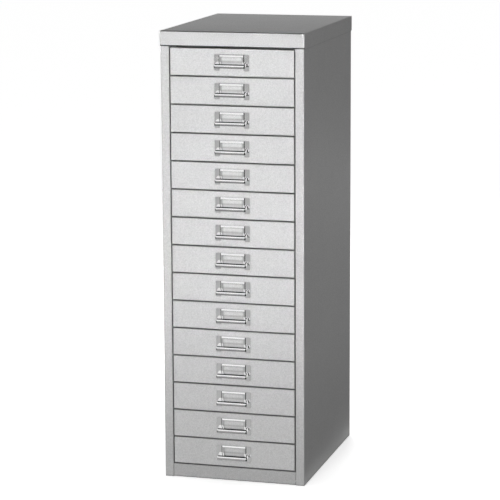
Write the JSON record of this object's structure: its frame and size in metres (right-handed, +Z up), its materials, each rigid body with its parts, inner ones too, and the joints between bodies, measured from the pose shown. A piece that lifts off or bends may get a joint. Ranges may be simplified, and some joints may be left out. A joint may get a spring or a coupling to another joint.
{
  "type": "multi-drawer cabinet",
  "caption": "Tall narrow steel cabinet with shallow sliding drawers for A4 paper, each with a label holder and a finger pull.",
  "frame": {"origin": "on the floor, at the middle of the footprint, pulls included", "axes": "+X to the right as seen from the front, -Y out of the drawer fronts, +Z up"},
  "size_m": [0.279, 0.3968, 0.8599],
  "materials": {
    "shell_paint": "silver-grey metallic paint, satin",
    "drawer_paint": "silver-grey metallic paint, satin",
    "plinth_paint": "silver-grey metallic paint, satin",
    "tray_paint": "silver-grey paint, smooth",
    "inner_paint": "grey primer, satin",
    "chrome": "bright chrome plate"
  },
  "bodies": {
    "cabinet": {"top_cap": "shell_paint", "side_panel_left": "shell_paint", "side_panel_right": "shell_paint", "back_panel": "shell_paint", "base_pan": "inner_paint", "plinth_rail": "plinth_paint", "top_rail": "shell_paint", "runner_rack_left": "inner_paint", "runner_rack_right": "inner_paint"},
    "drawer_01": {"drawer_front_01": "drawer_paint", "drawer_tray_01": "tray_paint", "drawer_pull_01": "chrome"},
    "drawer_02": {"drawer_front_02": "drawer_paint", "drawer_tray_02": "tray_paint", "drawer_pull_02": "chrome"},
    "drawer_03": {"drawer_front_03": "drawer_paint", "drawer_tray_03": "tray_paint", "drawer_pull_03": "chrome"},
    "drawer_04": {"drawer_front_04": "drawer_paint", "drawer_tray_04": "tray_paint", "drawer_pull_04": "chrome"},
    "drawer_05": {"drawer_front_05": "drawer_paint", "drawer_tray_05": "tray_paint", "drawer_pull_05": "chrome"},
    "drawer_06": {"drawer_front_06": "drawer_paint", "drawer_tray_06": "tray_paint", "drawer_pull_06": "chrome"},
    "drawer_07": {"drawer_front_07": "drawer_paint", "drawer_tray_07": "tray_paint", "drawer_pull_07": "chrome"},
    "drawer_08": {"drawer_front_08": "drawer_paint", "drawer_tray_08": "tray_paint", "drawer_pull_08": "chrome"},
    "drawer_09": {"drawer_front_09": "drawer_paint", "drawer_tray_09": "tray_paint", "drawer_pull_09": "chrome"},
    "drawer_10": {"drawer_front_10": "drawer_paint", "drawer_tray_10": "tray_paint", "drawer_pull_10": "chrome"},
    "drawer_11": {"drawer_front_11": "drawer_paint", "drawer_tray_11": "tray_paint", "drawer_pull_11": "chrome"},
    "drawer_12": {"drawer_front_12": "drawer_paint", "drawer_tray_12": "tray_paint", "drawer_pull_12": "chrome"},
    "drawer_13": {"drawer_front_13": "drawer_paint", "drawer_tray_13": "tray_paint", "drawer_pull_13": "chrome"},
    "drawer_14": {"drawer_front_14": "drawer_paint", "drawer_tray_14": "tray_paint", "drawer_pull_14": "chrome"},
    "drawer_15": {"drawer_front_15": "drawer_paint", "drawer_tray_15": "tray_paint", "drawer_pull_15": "chrome"}
  },
  "joints": [
    {"name": "drawer_01_slide", "type": "slide", "parent": "cabinet", "child": "drawer_01", "axis": [0, -1, 0], "range_m": [0, 0.3]},
    {"name": "drawer_02_slide", "type": "slide", "parent": "cabinet", "child": "drawer_02", "axis": [0, -1, 0], "range_m": [0, 0.3]},
    {"name": "drawer_03_slide", "type": "slide", "parent": "cabinet", "child": "drawer_03", "axis": [0, -1, 0], "range_m": [0, 0.3]},
    {"name": "drawer_04_slide", "type": "slide", "parent": "cabinet", "child": "drawer_04", "axis": [0, -1, 0], "range_m": [0, 0.3]},
    {"name": "drawer_05_slide", "type": "slide", "parent": "cabinet", "child": "drawer_05", "axis": [0, -1, 0], "range_m": [0, 0.3]},
    {"name": "drawer_06_slide", "type": "slide", "parent": "cabinet", "child": "drawer_06", "axis": [0, -1, 0], "range_m": [0, 0.3]},
    {"name": "drawer_07_slide", "type": "slide", "parent": "cabinet", "child": "drawer_07", "axis": [0, -1, 0], "range_m": [0, 0.3]},
    {"name": "drawer_08_slide", "type": "slide", "parent": "cabinet", "child": "drawer_08", "axis": [0, -1, 0], "range_m": [0, 0.3]},
    {"name": "drawer_09_slide", "type": "slide", "parent": "cabinet", "child": "drawer_09", "axis": [0, -1, 0], "range_m": [0, 0.3]},
    {"name": "drawer_10_slide", "type": "slide", "parent": "cabinet", "child": "drawer_10", "axis": [0, -1, 0], "range_m": [0, 0.3]},
    {"name": "drawer_11_slide", "type": "slide", "parent": "cabinet", "child": "drawer_11", "axis": [0, -1, 0], "range_m": [0, 0.3]},
    {"name": "drawer_12_slide", "type": "slide", "parent": "cabinet", "child": "drawer_12", "axis": [0, -1, 0], "range_m": [0, 0.3]},
    {"name": "drawer_13_slide", "type": "slide", "parent": "cabinet", "child": "drawer_13", "axis": [0, -1, 0], "range_m": [0, 0.3]},
    {"name": "drawer_14_slide", "type": "slide", "parent": "cabinet", "child": "drawer_14", "axis": [0, -1, 0], "range_m": [0, 0.3]},
    {"name": "drawer_15_slide", "type": "slide", "parent": "cabinet", "child": "drawer_15", "axis": [0, -1, 0], "range_m": [0, 0.3]}
  ]
}
